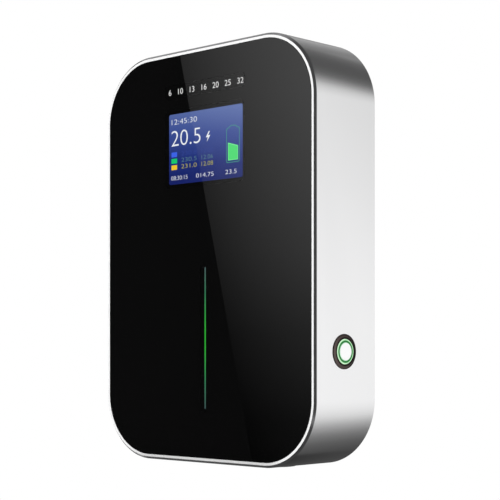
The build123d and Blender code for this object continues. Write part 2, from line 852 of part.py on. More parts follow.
parts = {
    "frame": make_frame(),
    "front_glass": make_front_glass(),
    "glass_tape": make_glass_tape(),
    "display_module": make_display_module(),
    "light_guide": make_light_guide(),
    "front_carrier": make_front_carrier(),
    "carrier_screws": make_carrier_screws(),
    "control_board": front_board(control_board_width, control_board_height, screen_z),
    "processor": make_processor(),
    "wireless_module": make_wireless_module(),
    "light_board": front_board(light_board_width, light_board_height, light_line_z),
    "indicator_leds": make_indicator_leds(),
    "rear_cover": make_rear_cover(),
    "cover_gasket": make_cover_gasket(),
    "cover_screws": make_cover_screws(),
    "hanging_studs": make_hanging_studs(),
    "wall_bracket": make_wall_bracket(),
    "lock_screw": make_lock_screw(),
    "power_board": make_power_board(),
    "power_board_screws": make_power_board_screws(),
    "mains_terminals": make_terminal_block(-entry_x),
    "vehicle_terminals": make_terminal_block(entry_x),
    "relays": make_relays(),
    "residual_current_sensor": make_residual_current_sensor(),
    "current_transformers": make_current_transformers(),
    "supply_module": make_supply_module(),
    "film_capacitors": make_film_capacitors(),
    "can_capacitors": make_can_capacitors(),
    "varistors": make_varistors(),
    "fuse": make_fuse(),
    "ribbon_sockets": make_ribbon_sockets(),
    "ribbon_cable": make_ribbon_cable(),
    "earth_stud": make_earth_stud(),
    "earth_nut": make_earth_nut(),
    "cable_grommets": make_cable_grommets(),
    "button_bezel": make_button_bezel(),
    "button_plunger": make_button_plunger(),
    "button_cap": make_button_cap(),
    "button_spring": make_button_spring(),
    "button_switch": make_button_switch(),
    "button_terminals": make_button_terminals(),
    "button_nut": make_button_nut(),
    "button_seal": make_button_seal(),
}

os.makedirs("parts", exist_ok=True)
for name, shape in parts.items():
    export_step(shape, f"parts/{name}.step")
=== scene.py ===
import math
import bmesh
import bpy
from mathutils import Matrix, Vector


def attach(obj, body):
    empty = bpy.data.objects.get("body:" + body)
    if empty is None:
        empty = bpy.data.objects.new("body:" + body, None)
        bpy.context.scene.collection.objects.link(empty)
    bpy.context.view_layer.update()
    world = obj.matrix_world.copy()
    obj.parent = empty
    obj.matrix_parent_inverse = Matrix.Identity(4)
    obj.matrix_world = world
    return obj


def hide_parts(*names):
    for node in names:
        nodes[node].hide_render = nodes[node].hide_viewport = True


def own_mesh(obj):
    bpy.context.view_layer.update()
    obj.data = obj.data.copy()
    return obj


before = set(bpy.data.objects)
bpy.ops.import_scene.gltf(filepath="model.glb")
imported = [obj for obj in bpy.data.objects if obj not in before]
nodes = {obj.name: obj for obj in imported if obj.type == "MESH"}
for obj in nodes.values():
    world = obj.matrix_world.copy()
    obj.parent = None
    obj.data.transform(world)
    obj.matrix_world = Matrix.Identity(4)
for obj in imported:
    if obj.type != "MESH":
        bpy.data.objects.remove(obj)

mm = 0.001
upright = Matrix.Rotation(math.radians(90), 4, "X")  # turns a flat shape to face the front
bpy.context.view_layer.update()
print("loaded", len(nodes), "nodes")


# ways to make and place a piece

def camelName(name):
    first, *rest = name.split("_")
    return first + "".join(word.capitalize() for word in rest)


def addNode(tree, kind, **settings):
    made = tree.nodes.new(kind)
    for key, value in settings.items():
        setattr(made, key, value)
    return made


def setInput(made, label, value):
    made.inputs[label].default_value = value


def linkNodes(tree, *pairs):
    for fromSocket, toSocket in pairs:
        tree.links.new(fromSocket, toSocket)


def addObject(name, data):
    thing = bpy.data.objects.new(name, data)
    bpy.context.scene.collection.objects.link(thing)
    return thing


def meshFrom(shape, name):
    # a new mesh from a worked shape, which is freed
    mesh = bpy.data.meshes.new(name)
    shape.to_mesh(mesh)
    shape.free()
    return mesh


def setFinish(mesh, material):
    mesh.materials.clear()
    mesh.materials.append(material)


def smoothByAngle(mesh, degrees):
    shape = bmesh.new()
    shape.from_mesh(mesh)
    limit = math.radians(degrees)
    for face in shape.faces:
        face.smooth = True
    for edge in shape.edges:
        edge.smooth = len(edge.link_faces) == 2 and edge.calc_face_angle(0.0) < limit
    shape.to_mesh(mesh)
    shape.free()


def addPiece(name, mesh, body, replaced=()):
    mesh.name = name
    piece = addObject(name, mesh)
    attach(piece, body)
    if replaced:
        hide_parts(*replaced)
    return piece


def meshOf(thing):
    # the evaluated shape of an object as a plain mesh, with the object removed
    graph = bpy.context.evaluated_depsgraph_get()
    mesh = bpy.data.meshes.new_from_object(thing.evaluated_get(graph), depsgraph=graph)
    bpy.data.objects.remove(thing)
    return mesh


def joinMeshes(name, meshes):
    # several meshes as one, each keeping its own materials
    joined = bmesh.new()
    materials = []
    for mesh in meshes:
        start = len(joined.faces)
        joined.from_mesh(mesh)
        joined.faces.ensure_lookup_table()
        places = []
        for material in mesh.materials:
            if material not in materials:
                materials.append(material)
            places.append(materials.index(material))
        for face in joined.faces[start:]:
            face.material_index = places[face.material_index] if places else 0
    result = bpy.data.meshes.new(name)
    for material in materials:
        result.materials.append(material)
    joined.to_mesh(result)
    joined.free()
    return result


def sheetMesh(name, outlines, y, material):
    # a flat filled sheet facing the front; the first outline is its edge and the rest are holes
    curve = bpy.data.curves.new(name, "CURVE")
    curve.dimensions = "2D"
    curve.fill_mode = "BOTH"
    for points in outlines:
        spline = curve.splines.new("POLY")
        spline.points.add(len(points) - 1)
        for place, (x, z) in zip(spline.points, points):
            place.co = (x * mm, z * mm, 0, 1)
        spline.use_cyclic_u = True
    mesh = meshOf(addObject(name, curve))
    bpy.data.curves.remove(curve)
    mesh.transform(Matrix.Translation((0, y * mm, 0)) @ upright)
    setFinish(mesh, material)
    return mesh


def roundedOutline(width, height, radius, middleX=0.0, middleZ=0.0, steps=16):
    points = []
    for quarter, (sideX, sideZ) in enumerate(((1, 1), (-1, 1), (-1, -1), (1, -1))):
        cornerX = middleX + sideX * (width / 2 - radius)
        cornerZ = middleZ + sideZ * (height / 2 - radius)
        for step in range(steps + 1):
            turn = math.radians(90 * (quarter + step / steps))
            points.append((cornerX + radius * math.cos(turn), cornerZ + radius * math.sin(turn)))
    return points


figureShare = 0.73  # height of a figure as a share of the font's size


def textMesh(name, words, size, width, place, material, align="LEFT", thin=0.012):
    # plain figures as a flat mesh of a given height and width; thin narrows their strokes
    curve = bpy.data.curves.new(name, "FONT")
    curve.body = words
    curve.align_x = align
    curve.size = size * mm / figureShare
    curve.offset = -thin * curve.size
    mesh = meshOf(addObject(name, curve))
    bpy.data.curves.remove(curve)
    across, up = [v.co.x for v in mesh.vertices], [v.co.y for v in mesh.vertices]
    stretch = (width * mm / (max(across) - min(across)), size * mm / (max(up) - min(up)), 1, 1)
    origin = min(across) if align == "LEFT" else (min(across) + max(across)) / 2
    fit = Matrix.Diagonal(stretch) @ Matrix.Translation((-origin, -min(up), 0))
    mesh.transform(Matrix.Translation([c * mm for c in place]) @ upright @ fit)
    setFinish(mesh, material)
    return mesh


def turnedMesh(name, points, place, material, steps=128):
    # a closed section of radius and height pairs, turned about its own axis
    shape = bmesh.new()
    rings = []
    for radius, height in points:
        if radius == 0:  # a point on the axis
            rings.append([shape.verts.new((0, 0, height * mm))])
            continue
        turns = [2 * math.pi * step / steps for step in range(steps)]
        corners = [(radius * mm * math.cos(turn), radius * mm * math.sin(turn), height * mm) for turn in turns]
        rings.append([shape.verts.new(corner) for corner in corners])
    for first, second in zip(rings, rings[1:] + rings[:1]):
        for step in range(steps):
            after = (step + 1) % steps
            if len(first) == 1 and len(second) == 1:
                break
            if len(first) == 1:
                shape.faces.new((first[0], second[after], second[step]))
            elif len(second) == 1:
                shape.faces.new((first[step], first[after], second[0]))
            else:
                shape.faces.new((first[step], first[after], second[after], second[step]))
    bmesh.ops.recalc_face_normals(shape, faces=shape.faces)
    mesh = meshFrom(shape, name)
    mesh.transform(place)
    mesh.materials.append(material)
    smoothByAngle(mesh, degrees=24)
    return mesh


# finishes

def newMaterial(name):
    material = bpy.data.materials.new(name)
    material.use_nodes = True
    return material, material.node_tree, material.node_tree.nodes["Principled BSDF"]


def spanNode(tree, start, end, low=0.0, high=1.0, **settings):
    # carries the values from start to end over to low to high
    made = addNode(tree, "ShaderNodeMapRange", **settings)
    for label, value in (("From Min", start), ("From Max", end), ("To Min", low), ("To Max", high)):
        setInput(made, label, value)
    return made


def fillRamp(ramp, stops):
    # a new colour ramp has two stops, and the others are added
    elements = ramp.color_ramp.elements
    for index, (place, colour) in enumerate(stops):
        stop = elements[index] if index < 2 else elements.new(place)
        stop.position = place
        stop.color = list(colour) + [1]


def greys(pairs):
    return [(place, (tone, tone, tone)) for place, tone in pairs]


def rampColour(tree, coords, ramp):
    # a row of colours along one axis, or outward from one
    mapping = addNode(tree, "ShaderNodeMapping")
    setInput(mapping, "Location", [-c * mm for c in ramp["middle"]])
    across = addNode(tree, "ShaderNodeVectorMath", operation="MULTIPLY")
    across.inputs[1].default_value = ramp["along"]
    radial = ramp.get("radial", False)
    length = addNode(tree, "ShaderNodeVectorMath", operation="LENGTH" if radial else "DOT_PRODUCT")
    if not radial:
        length.inputs[1].default_value = (1, 1, 1)
    span = spanNode(tree, ramp["start"] * mm, ramp["end"] * mm)
    colours = addNode(tree, "ShaderNodeValToRGB")
    fillRamp(colours, ramp["stops"])
    linkNodes(
        tree,
        (coords.outputs["Object"], mapping.inputs["Vector"]),
        (mapping.outputs["Vector"], across.inputs[0]),
        (across.outputs["Vector"], length.inputs[0]),
        (length.outputs["Value"], span.inputs["Value"]),
        (span.outputs["Result"], colours.inputs["Fac"]),
    )
    return colours.outputs["Color"]


grainDefaults = dict(
    stretch=(1, 1, 1), grainDetail=3.0, patch=40, patchDetail=2.0, blend=0.5, tone=0.06, roughSpread=0.04,
    bump=0.1, bumpHeight=0.02, metal=0.0, specular=0.5,
)


def grainFinish(name, given):
    # one colour, or a row of them, with a fine grain, soft patches, uneven gloss and a small bump
    finish = {**grainDefaults, **given}
    material, tree, shader = newMaterial(name)
    coords = addNode(tree, "ShaderNodeTexCoord")
    mapping = addNode(tree, "ShaderNodeMapping")
    setInput(mapping, "Scale", finish["stretch"])
    grain = addNode(tree, "ShaderNodeTexNoise")
    setInput(grain, "Scale", 1 / (finish["grain"] * mm))
    setInput(grain, "Detail", finish["grainDetail"])
    patches = addNode(tree, "ShaderNodeTexNoise")
    setInput(patches, "Scale", 1 / (finish["patch"] * mm))
    setInput(patches, "Detail", finish["patchDetail"])
    blend = addNode(tree, "ShaderNodeMix", data_type="FLOAT")
    setInput(blend, "Factor", finish["blend"])
    tint = addNode(tree, "ShaderNodeMix", data_type="RGBA")
    colour, spread, rough, roughSpread = [finish[key] for key in ("colour", "tone", "rough", "roughSpread")]
    tint.inputs[6].default_value = [c * (1 - spread) for c in colour] + [1]
    tint.inputs[7].default_value = [min(1, c * (1 + spread)) for c in colour] + [1]
    gloss = spanNode(tree, 0.0, 1.0, rough - roughSpread, rough + roughSpread)
    bump = addNode(tree, "ShaderNodeBump")
    setInput(bump, "Strength", finish["bump"])
    setInput(bump, "Distance", finish["bumpHeight"] * mm)
    linkNodes(
        tree,
        (coords.outputs["Object"], mapping.inputs["Vector"]),
        (mapping.outputs["Vector"], grain.inputs["Vector"]),
        (coords.outputs["Object"], patches.inputs["Vector"]),
        (grain.outputs["Fac"], blend.inputs[2]),
        (patches.outputs["Fac"], blend.inputs[3]),
        (blend.outputs[0], tint.inputs["Factor"]),
        (tint.outputs[2], shader.inputs["Base Color"]),
        (grain.outputs["Fac"], gloss.inputs["Value"]),
        (gloss.outputs["Result"], shader.inputs["Roughness"]),
        (grain.outputs["Fac"], bump.inputs["Height"]),
        (bump.outputs["Normal"], shader.inputs["Normal"]),
    )
    if "ramp" in finish:
        shade = addNode(tree, "ShaderNodeMix", data_type="RGBA", blend_type="MULTIPLY")
        setInput(shade, "Factor", 1.0)
        linkNodes(
            tree,
            (tint.outputs[2], shade.inputs[6]),
            (rampColour(tree, coords, finish["ramp"]), shade.inputs[7]),
            (shade.outputs[2], shader.inputs["Base Color"]),
        )
    setInput(shader, "Metallic", finish["metal"])
    setInput(shader, "Specular IOR Level", finish["specular"])
    return material


litField = dict(rough=0.4, dots=0.6, dim=0.96)


def setGlow(shader, rough, specular=0.0):
    # a dark field that gives its own light
    setInput(shader, "Base Color", (0.01, 0.01, 0.012, 1))
    setInput(shader, "Specular IOR Level", specular)
    setInput(shader, "Emission Strength", 1.0)
    setInput(shader, "Roughness", rough)


def rampFinish(name, ramp):
    # light that fades through a row of colours along one axis or away from one
    material, tree, shader = newMaterial(name)
    coords = addNode(tree, "ShaderNodeTexCoord")
    linkNodes(tree, (rampColour(tree, coords, ramp), shader.inputs["Emission Color"]))
    setGlow(shader, ramp["rough"], ramp.get("specular", 0.0))
    return material


def linear(red, green, blue):
    # a screen colour of 0 to 255 as linear light
    return [((c / 255 + 0.055) / 1.055) ** 2.4 if c > 10 else c / 255 / 12.92 for c in (red, green, blue)]


def litFinish(name, colour):
    # a lit field of one colour with a faint dot grain
    material, tree, shader = newMaterial(name)
    coords = addNode(tree, "ShaderNodeTexCoord")
    dots = addNode(tree, "ShaderNodeTexVoronoi")
    setInput(dots, "Scale", 1 / (litField["dots"] * mm))
    tint = addNode(tree, "ShaderNodeMix", data_type="RGBA")
    tint.inputs[6].default_value = [c * litField["dim"] for c in colour] + [1]
    tint.inputs[7].default_value = list(colour) + [1]
    linkNodes(
        tree,
        (coords.outputs["Object"], dots.inputs["Vector"]),
        (dots.outputs["Distance"], tint.inputs["Factor"]),
        (tint.outputs[2], shader.inputs["Emission Color"]),
    )
    setGlow(shader, litField["rough"])
    return material


finishes = {
    "satin_aluminium": dict(
        colour=(0.88, 0.88, 0.885), metal=1.0, rough=0.2, grain=0.35, tone=0.015, roughSpread=0.03,
        bump=0.12, bumpHeight=0.004,
    ),
    "black_foam": dict(colour=(0.02, 0.02, 0.021), rough=0.85, grain=0.5, tone=0.25, bump=0.5, bumpHeight=0.08),
    "display": dict(colour=(0.03, 0.03, 0.035), rough=0.25, grain=0.8, tone=0.1, bump=0.05),
    "clear_acrylic": dict(colour=(0.72, 0.88, 0.78), rough=0.12, grain=1.5, tone=0.03, bump=0.03),
    "black_moulding": dict(
        colour=(0.025, 0.025, 0.027), rough=0.45, grain=0.5, tone=0.15, bump=0.25, bumpHeight=0.03,
    ),
    "zinc_steel": dict(
        colour=(0.56, 0.57, 0.59), metal=0.55, rough=0.36, grain=2.5, patch=9, tone=0.14, roughSpread=0.08,
        bump=0.12, bumpHeight=0.01,
    ),
    "circuit_board": dict(
        colour=(0.015, 0.10, 0.05), rough=0.32, grain=2.2, tone=0.3, bump=0.2, bumpHeight=0.03,
    ),
    "shield_can": dict(colour=(0.72, 0.73, 0.74), metal=1.0, rough=0.28, grain=0.8, tone=0.05),
    "white_led": dict(colour=(0.90, 0.89, 0.80), rough=0.3, grain=0.6, tone=0.05, bump=0.05),
    "painted_cover": dict(
        colour=(0.030, 0.031, 0.033), rough=0.52, grain=0.7, tone=0.18, roughSpread=0.08,
        bump=0.55, bumpHeight=0.05,
    ),
    "black_rubber": dict(
        colour=(0.018, 0.018, 0.018), rough=0.62, grain=0.9, tone=0.2, bump=0.3, bumpHeight=0.03,
    ),
    "green_moulding": dict(colour=(0.03, 0.24, 0.09), rough=0.42, grain=0.6, tone=0.1, bump=0.2),
    "blue_moulding": dict(colour=(0.03, 0.09, 0.33), rough=0.42, grain=0.6, tone=0.1, bump=0.2),
    "yellow_moulding": dict(colour=(0.72, 0.46, 0.04), rough=0.4, grain=0.6, tone=0.08, bump=0.2),
    "plated_brass": dict(
        colour=(0.74, 0.60, 0.32), metal=1.0, rough=0.27, grain=0.9, tone=0.08, roughSpread=0.06,
    ),
    "grey_cable": dict(
        colour=(0.36, 0.36, 0.37), rough=0.5, grain=1.27, stretch=(1, 0.02, 0.02), tone=0.18,
        bump=0.4, bumpHeight=0.1,
    ),
}
slotFinish = {slot: grainFinish(camelName(slot), finish) for slot, finish in finishes.items()}
rimFinish = grainFinish("brightRim", dict(
    colour=(0.90, 0.90, 0.90), metal=0.38, rough=0.42, grain=0.4, tone=0.015, bump=0.06, bumpHeight=0.004,
))
cutFinish = grainFinish("polishedCut", dict(
    colour=(0.84, 0.84, 0.85), metal=1.0, rough=0.10, grain=0.8, tone=0.01, roughSpread=0.02,
    bump=0.03, bumpHeight=0.004,
))
blackInk = dict(colour=(0.0009, 0.0009, 0.00095), grain=0.5, tone=0.2, roughSpread=0.0, bump=0.0)
printFinish = grainFinish("blackPrint", dict(blackInk, rough=0.6, specular=0.0))
slotFinish["black_glass"] = grainFinish("blackGlass", dict(
    blackInk, colour=(0.0004, 0.0004, 0.00043), rough=0.0,
))
# the white print is given its own light: a painted glow, not lit by a lamp
printGlowFinish = litFinish("glowingWhitePrint", linear(238, 238, 238))
print("finishes made:", len(finishes))


# frame band: one section carried round the rounded outline

band = dict(
    width=220, height=310, cornerRadius=49, cornerSteps=64,
    section=[
        (0.5, 8), (0, 8.5), (0, 71.5), (0.12, 72.1), (1.8, 73.5), (3.65, 73.5), (3.65, 69.5), (19.65, 69.5),
        (19.65, 66.5), (3, 66.5), (3, 15), (13, 15), (13, 12), (3, 12), (3, 8),
    ],
    rimFrom=73.3, cutFrom=71.6,
    screwFromCorner=12, coverScrewInset=8, carrierScrewInset=16.575,
    buttonMiddle=(110, -42.8, -72), entryMiddles=[(-42, -41, -155), (42, -41, -155)],
    lockMiddle=(0, -18.5, -155), coverLedge=-13.5, glassLedge=-68,
    bores=dict(button=11.15, entry=13, lock=2.05, coverScrew=2.05, carrierScrew=1.55),
    boreSteps=96, wallCut=12, ledgeCut=6,
)


def edgePlaces(inset):
    # screw places: two on each side, and two at the top and at the bottom
    halfWidth, halfHeight = band["width"] / 2, band["height"] / 2
    back = band["cornerRadius"] + band["screwFromCorner"]
    pairs = [(halfWidth - inset, halfHeight - back), (halfWidth - back, halfHeight - inset)]
    return [(x * sideX, z * sideZ) for x, z in pairs for sideX in (-1, 1) for sideZ in (-1, 1)]


def newTree(name, labels):
    # a node tree with named inputs and a geometry output
    tree = bpy.data.node_groups.new(name, "GeometryNodeTree")
    tree.interface.new_socket("Geometry", in_out="OUTPUT", socket_type="NodeSocketGeometry")
    for label, kind in labels:
        tree.interface.new_socket(label, in_out="INPUT", socket_type="NodeSocket" + kind)
    return tree, addNode(tree, "NodeGroupInput"), addNode(tree, "NodeGroupOutput")


def bandTree():
    tree, given, result = newTree("frameBand", (
        ("Width", "Float"), ("Height", "Float"), ("Corner Radius", "Float"), ("Corner Steps", "Int"),
        ("Rim From", "Float"), ("Cut From", "Float"), ("Section", "Object"),
    ))
    path = addNode(tree, "GeometryNodeCurvePrimitiveQuadrilateral")
    corners = addNode(tree, "GeometryNodeFilletCurve", mode="POLY")
    section = addNode(tree, "GeometryNodeObjectInfo")
    sweep = addNode(tree, "GeometryNodeCurveToMesh")
    place = addNode(tree, "GeometryNodeInputPosition")
    placeParts = addNode(tree, "ShaderNodeSeparateXYZ")
    onRim = addNode(tree, "FunctionNodeCompare", operation="GREATER_THAN")
    onCut = addNode(tree, "FunctionNodeCompare", operation="GREATER_THAN")
    whole = addNode(tree, "GeometryNodeRealizeInstances")
    setSide = addNode(tree, "GeometryNodeSetMaterial")
    setCut = addNode(tree, "GeometryNodeSetMaterial")
    setRim = addNode(tree, "GeometryNodeSetMaterial")
    setInput(setSide, "Material", slotFinish["satin_aluminium"])
    setInput(setCut, "Material", cutFinish)
    setInput(setRim, "Material", rimFinish)
    linkNodes(
        tree,
        (given.outputs["Width"], path.inputs["Width"]),
        (given.outputs["Height"], path.inputs["Height"]),
        (path.outputs["Curve"], corners.inputs["Curve"]),
        (given.outputs["Corner Radius"], corners.inputs["Radius"]),
        (given.outputs["Corner Steps"], corners.inputs["Count"]),
        (corners.outputs["Curve"], sweep.inputs["Curve"]),
        (given.outputs["Section"], section.inputs["Object"]),
        (section.outputs["Geometry"], sweep.inputs["Profile Curve"]),
        (sweep.outputs["Mesh"], whole.inputs["Geometry"]),
        (whole.outputs["Geometry"], setSide.inputs["Geometry"]),
        (setSide.outputs["Geometry"], setCut.inputs["Geometry"]),
        (setCut.outputs["Geometry"], setRim.inputs["Geometry"]),
        (setRim.outputs["Geometry"], result.inputs["Geometry"]),
        (place.outputs["Position"], placeParts.inputs["Vector"]),
        (placeParts.outputs["Z"], onRim.inputs["A"]),
        (given.outputs["Rim From"], onRim.inputs["B"]),
        (placeParts.outputs["Z"], onCut.inputs["A"]),
        (given.outputs["Cut From"], onCut.inputs["B"]),
        (onCut.outputs["Result"], setCut.inputs["Selection"]),
        (onRim.outputs["Result"], setRim.inputs["Selection"]),
    )
    return tree


def grown(name, tree, values):
    # the mesh that a node tree makes from the given sizes
    thing = addObject(name, bpy.data.meshes.new(name))
    modifier = thing.modifiers.new(name, "NODES")
    modifier.node_group = tree
    for item in tree.interface.items_tree:
        if item.in_out == "INPUT" and item.name in values:
            modifier[item.identifier] = values[item.name]
    return meshOf(thing)


def makeBand():
    curve = bpy.data.curves.new("bandSection", "CURVE")
    spline = curve.splines.new("POLY")
    spline.points.add(len(band["section"]) - 1)
    for point, (inset, depth) in zip(spline.points, band["section"]):
        point.co = (-inset * mm, -depth * mm, 0, 1)
    spline.use_cyclic_u = True
    section = addObject("bandSection", curve)
    mesh = grown("frameBand", bandTree(), {
        "Width": band["width"] * mm, "Height": band["height"] * mm, "Corner Radius": band["cornerRadius"] * mm,
        "Corner Steps": band["cornerSteps"], "Rim From": band["rimFrom"] * mm, "Cut From": band["cutFrom"] * mm,
        "Section": section,
    })
    bpy.data.objects.remove(section)
    mesh.transform(upright)
    mergeMesh(mesh)
    return drilled("frameBand", mesh, bandHoles())


def mergeMesh(mesh, distance=1e-6):
    shape = bmesh.new()
    shape.from_mesh(mesh)
    bmesh.ops.remove_doubles(shape, verts=shape.verts, dist=distance)
    bmesh.ops.recalc_face_normals(shape, faces=shape.faces)
    shape.to_mesh(mesh)
    shape.free()


def drilled(name, mesh, holes):
    # round holes cut through a mesh; each hole is a radius, a middle, an axis and a length
    shape = bmesh.new()
    for radius, middle, axis, length in holes:
        turn = Vector((0, 0, 1)).rotation_difference(Vector(axis)).to_matrix().to_4x4()
        place = Matrix.Translation(Vector(middle) * mm) @ turn
        size = dict(radius1=radius * mm, radius2=radius * mm, depth=length * mm)
        bmesh.ops.create_cone(shape, cap_ends=True, segments=band["boreSteps"], matrix=place, **size)
    cutter = addObject(name + "Cutter", meshFrom(shape, name + "Cutter"))
    thing = addObject(name, mesh)
    modifier = thing.modifiers.new("holes", "BOOLEAN")
    modifier.operation = "DIFFERENCE"
    modifier.solver = "EXACT"
    modifier.object = cutter
    result = meshOf(thing)
    bpy.data.objects.remove(cutter)
    return result


def bandHoles():
    # the button in the right side, the lock screw and the cable entries below, and the screws in both ledges
    bores, wall, ledge = band["bores"], band["wallCut"], band["ledgeCut"]
    right, back, up = (1, 0, 0), (0, 1, 0), (0, 0, 1)
    holes = [(bores["button"], band["buttonMiddle"], right, wall)]
    holes.append((bores["lock"], band["lockMiddle"], up, wall))
    holes += [(bores["entry"], middle, up, wall) for middle in band["entryMiddles"]]
    for x, z in edgePlaces(band["coverScrewInset"]):
        holes.append((bores["coverScrew"], (x, band["coverLedge"], z), back, ledge))
    for x, z in edgePlaces(band["carrierScrewInset"]):
        holes.append((bores["carrierScrew"], (x, band["glassLedge"], z), back, ledge))
    return holes


bandMesh = makeBand()
smoothByAngle(bandMesh, degrees=20)
addPiece("frameBand", bandMesh, "housing", ["frame"])
print("frame band:", len(bandMesh.polygons), "faces", [m.name for m in bandMesh.materials])


# front pane: black glass, clear where the print, the picture and the figures on its back show through

pane = dict(
    inset=3.85, back=-70.5, front=-73.5, edgeCut=0.3, clear=3,
    printBack=-70.53, printInset=3.91, figureLift=0.02, lightLift=0.005,
)
screen = dict(width=77.7, height=53.3, radius=1.6, middleX=-0.15, middleZ=81.15)
lightLine = dict(width=1.3, radius=0.6, top=-9.45, bottom=-114.7)
lineMiddle = (lightLine["top"] + lightLine["bottom"]) / 2
figures = dict(words="6   10   13   16   20   25   32", width=79, size=4.3, z=122.5, thin=0.003)


def insetOutline(inset):
    width, height, radius = band["width"] - 2 * inset, band["height"] - 2 * inset, band["cornerRadius"] - inset
    return roundedOutline(width, height, radius, steps=band["cornerSteps"])


def screenOutline(more=0):
    width, height, radius = screen["width"] + more, screen["height"] + more, screen["radius"] + more / 2
    return roundedOutline(width, height, radius, screen["middleX"], screen["middleZ"])


def lineOutline(more=0):
    height = lightLine["top"] - lightLine["bottom"] + more
    return roundedOutline(lightLine["width"] + more, height, lightLine["radius"] + more / 2, middleZ=lineMiddle)


def glassFinish():
    material, _, shader = newMaterial("clearGlass")
    setInput(shader, "Base Color", (1, 1, 1, 1))
    setInput(shader, "Roughness", 0.0)
    setInput(shader, "IOR", 1.5)
    setInput(shader, "Transmission Weight", 1.0)
    return material


def paneSides(rings, material):
    # the back of the pane and its edge, from equal outlines at their own depths
    shape = bmesh.new()
    loops = [[shape.verts.new((x * mm, y * mm, z * mm)) for x, z in points] for points, y in rings]
    count = len(loops[0])
    for low, high in zip(loops, loops[1:]):
        for step in range(count):
            after = (step + 1) % count
            shape.faces.new((low[step], low[after], high[after], high[step]))
    shape.faces.new(loops[0])
    mesh = meshFrom(shape, "paneSides")
    mesh.materials.append(material)
    return mesh


def makePane():
    black, clear = slotFinish["black_glass"], glassFinish()
    edge, face = insetOutline(pane["inset"]), insetOutline(pane["inset"] + pane["edgeCut"])
    more = 2 * pane["clear"]
    width, height, middle = figures["width"] + more, figures["size"] + more, figures["z"] + figures["size"] / 2
    figureWindow = roundedOutline(width, height, more / 2, middleZ=middle)
    windows = [screenOutline(more), lineOutline(more), figureWindow]
    rings = [(edge, pane["back"]), (edge, pane["front"] + pane["edgeCut"]), (face, pane["front"])]
    parts = [paneSides(rings, black)]
    parts.append(sheetMesh("paneFront", [face] + [points[::-1] for points in windows], pane["front"], black))
    parts += [sheetMesh("paneWindow", [points], pane["front"], clear) for points in windows]
    mesh = joinMeshes("frontPane", parts)
    mergeMesh(mesh)
    smoothByAngle(mesh, degrees=20)
    return mesh


addPiece("frontPane", makePane(), "housing", ["front_glass"])

printEdges = [insetOutline(pane["printInset"]), screenOutline()[::-1], lineOutline()[::-1]]
printMesh = sheetMesh("glassPrint", printEdges, pane["printBack"], printFinish)
addPiece("glassPrint", printMesh, "housing")

figurePlace = (0, pane["printBack"] - pane["figureLift"], figures["z"])
figureMesh = textMesh(
    "ratingFigures", figures["words"], figures["size"], figures["width"], figurePlace, printGlowFinish,
    align="CENTER", thin=figures["thin"],
)
addPiece("ratingFigures", figureMesh, "housing")
print("pane and print made")


# picture on the screen: fields of colour and plain figures, in lengths across and down from its corner

# clock and power are words, height, across, down and width; a row is top, bottom, two colours and two numbers
picture = dict(
    left=-38.7, top=107.5, stretch=1.02, depth=pane["printBack"] - pane["lightLift"], lift=0.02, fillLift=0.03,
    sky=[
        (0.0, linear(14, 28, 98)), (0.3, linear(24, 42, 116)), (0.65, linear(56, 76, 146)),
        (1.0, linear(92, 112, 170)),
    ],
    skyLean=0.12, skyMargin=3,
    clock=("12:45:30", 3.9, 2.4, 7.6, 27.5), power=("20.5", 11.6, 2.1, 23.9, 31.6),
    bolt=[(41.6, 16.2), (38.6, 20.6), (40.7, 20.6), (39.6, 23.9), (43.4, 19.2), (41.1, 19.2), (42.8, 16.2)],
    rows=[
        (28.5, 32.2, linear(60, 100, 235), linear(50, 70, 150), "230.8", "12.05"),
        (33.4, 37.0, linear(20, 205, 110), linear(92, 132, 140), "230.5", "12.06"),
        (38.3, 41.9, linear(245, 200, 40), linear(186, 182, 60), "231.0", "12.08"),
    ],
    squares=(2.1, 8.3), rowFigures=((12.8, 16.6), (34.2, 12.1)), rowSize=3.1, rowRise=0.5,
    foot=[("08:30:15", 2.0, 17.7), ("014.75", 28.5, 18.5), ("23.5", 58.6, 11.6)], footLine=49.7,
    cell=(59.6, 72.9, 14.4, 41.6), cellStroke=0.45,
    cellFoot=[(0, 1.2), (0.4, 0.4), (1.2, 0)],
    cellShoulder=[(0, 2.6), (0.5, 2.1), (2.2, 1.5), (4.0, 0.3), (5.4, 0)],
    charge=[(61.3, 26.8), (71.3, 29.6), (71.3, 39.9), (61.3, 39.9)],
    chargeInside=[(61.8, 27.6), (70.8, 30.1), (70.8, 39.4), (61.8, 39.4)],
    cellLine=linear(66, 156, 132), cellFill=linear(76, 222, 116), cellEdge=linear(120, 246, 150),
)


def onScreen(across, down):
    return picture["left"] + across * picture["stretch"], picture["top"] - down


def boxOutline(left, right, top, bottom, radius=0.3):
    x, z = onScreen((left + right) / 2, (top + bottom) / 2)
    return roundedOutline(right - left, bottom - top, radius, x, z, steps=6)


def pictureText(words, size, across, down, width, material):
    x, z = onScreen(across, down)
    return textMesh("figure", words, size, width, (x, picture["depth"] - picture["lift"], z), material)


def pictureSheet(name, outlines, material, lift=picture["lift"]):
    return sheetMesh(name, outlines, picture["depth"] - lift, material)


def cellOutlines():
    # the battery shape's outer edge, with a foot and a shoulder at each side, and the inner edge of its stroke
    left, right, top, bottom = picture["cell"]
    foot, shoulder = picture["cellFoot"], picture["cellShoulder"]
    outer = [(left + across, bottom - up) for across, up in foot]
    outer += [(right - across, bottom - up) for across, up in foot[::-1]]
    outer += [(right - across, top + down) for across, down in shoulder]
    outer += [(left + across, top + down) for across, down in shoulder[::-1]]
    middleX, middleZ = (left + right) / 2, (top + bottom) / 2
    narrow = 1 - 2 * picture["cellStroke"] / (right - left)
    short = 1 - 2 * picture["cellStroke"] / (bottom - top)
    inner = [(middleX + (x - middleX) * narrow, middleZ + (z - middleZ) * short) for x, z in outer]
    return outer, inner[::-1]


def placed(outline):
    return [onScreen(*place) for place in outline]


